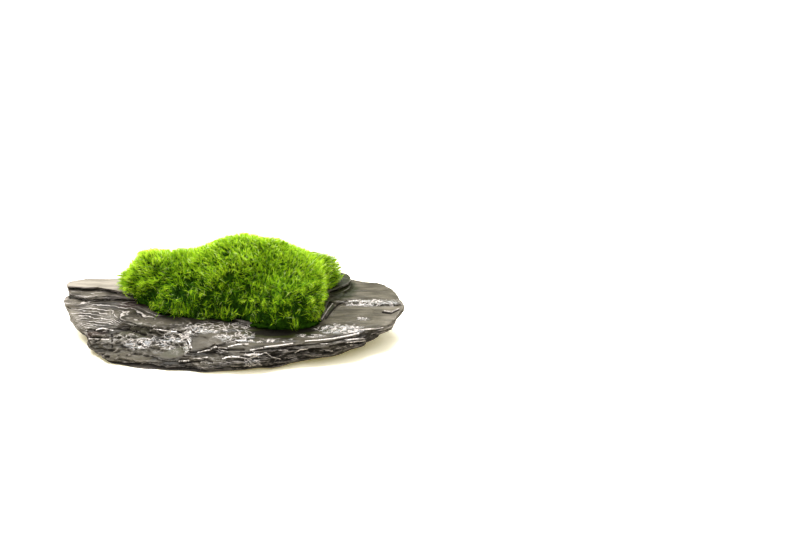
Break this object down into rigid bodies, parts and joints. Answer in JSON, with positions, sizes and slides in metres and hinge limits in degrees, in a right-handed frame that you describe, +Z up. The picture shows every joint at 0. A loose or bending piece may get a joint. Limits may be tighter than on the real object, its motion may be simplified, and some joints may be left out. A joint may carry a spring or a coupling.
{
  "type": "marimo on stone",
  "caption": "Lobed cushion of ball algae grown on the flat top of a layered slate slab, with stepped, broken edges and a flat foot to rest on.",
  "frame": {"origin": "centre of the bounding box in plan, on the ground under the slab's flat foot", "axes": "+X along the slab towards its thin, lifted tip, +Y to the back, +Z up"},
  "size_m": [0.1314, 0.0686, 0.0381],
  "materials": {
    "slate": "wet, split faces",
    "marimo": "velvety, fine fibres"
  },
  "bodies": {
    "root": {"slate": "slate", "marimo": "marimo"}
  },
  "joints": []
}
